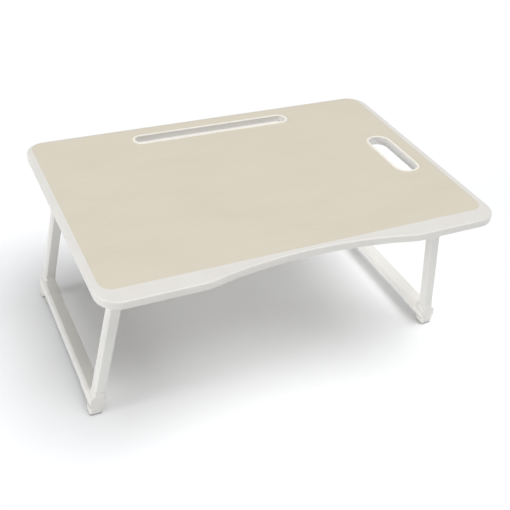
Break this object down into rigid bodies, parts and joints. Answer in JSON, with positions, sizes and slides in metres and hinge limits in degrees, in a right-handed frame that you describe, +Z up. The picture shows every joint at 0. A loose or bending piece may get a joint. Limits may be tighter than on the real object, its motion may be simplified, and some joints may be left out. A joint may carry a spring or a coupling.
{
  "type": "folding bed tray table",
  "caption": "Low folding table for use in bed: rounded board with a hollowed front edge, a slot for a tablet, a hand hole, and a tubular leg frame at each side that folds flat under it.",
  "frame": {"origin": "on the surface that the four feet stand on, under the middle of the table's outline", "axes": "+X to the right of the person sitting at the table, +Y away from them, +Z up; legs open"},
  "size_m": [0.6, 0.4, 0.269],
  "materials": {
    "decor_laminate": "matt wood-look laminate with a faint pale grain",
    "fibreboard": "raw medium-density fibreboard",
    "backing_laminate": "matt off-white balancing laminate",
    "white_moulding": "off-white satin moulding",
    "cream_trim": "cream satin moulding",
    "leg_plastic": "off-white satin moulding, a little textured",
    "washer_plastic": "natural nylon",
    "leg_tube": "off-white powder coat, satin",
    "pad_rubber": "soft grey, matt",
    "steel_fastener": "zinc-plated"
  },
  "bodies": {
    "tabletop": {"decor_sheet": "decor_laminate", "core_board": "fibreboard", "backing_sheet": "backing_laminate", "edge_moulding": "white_moulding", "tablet_slot_tray": "cream_trim", "handle_liner": "cream_trim", "handle_lower_ring": "cream_trim", "left_front_hinge_bracket": "leg_plastic", "left_front_hinge_rivet": "steel_fastener", "left_rear_hinge_bracket": "leg_plastic", "left_rear_hinge_rivet": "steel_fastener", "left_bracket_screws": "steel_fastener", "left_hinge_washers": "washer_plastic", "right_front_hinge_bracket": "leg_plastic", "right_front_hinge_rivet": "steel_fastener", "right_rear_hinge_bracket": "leg_plastic", "right_rear_hinge_rivet": "steel_fastener", "right_bracket_screws": "steel_fastener", "right_hinge_washers": "washer_plastic"},
    "left_leg": {"left_front_end_fitting": "leg_plastic", "left_front_upright": "leg_tube", "left_front_corner": "leg_plastic", "left_front_foot_pad": "pad_rubber", "left_rear_end_fitting": "leg_plastic", "left_rear_upright": "leg_tube", "left_rear_corner": "leg_plastic", "left_rear_foot_pad": "pad_rubber", "left_bottom_bar": "leg_tube", "left_fitting_screws": "steel_fastener"},
    "right_leg": {"right_front_end_fitting": "leg_plastic", "right_front_upright": "leg_tube", "right_front_corner": "leg_plastic", "right_front_foot_pad": "pad_rubber", "right_rear_end_fitting": "leg_plastic", "right_rear_upright": "leg_tube", "right_rear_corner": "leg_plastic", "right_rear_foot_pad": "pad_rubber", "right_bottom_bar": "leg_tube", "right_fitting_screws": "steel_fastener"}
  },
  "joints": [
    {"name": "left_leg_fold", "type": "hinge", "parent": "tabletop", "child": "left_leg", "pos_m": [-0.25, 0.02, 0.2435], "axis": [0, -1, 0], "range_deg": [0, 99.5]},
    {"name": "right_leg_fold", "type": "hinge", "parent": "tabletop", "child": "right_leg", "pos_m": [0.25, 0.02, 0.2435], "axis": [0, 1, 0], "range_deg": [0, 99.5]}
  ]
}
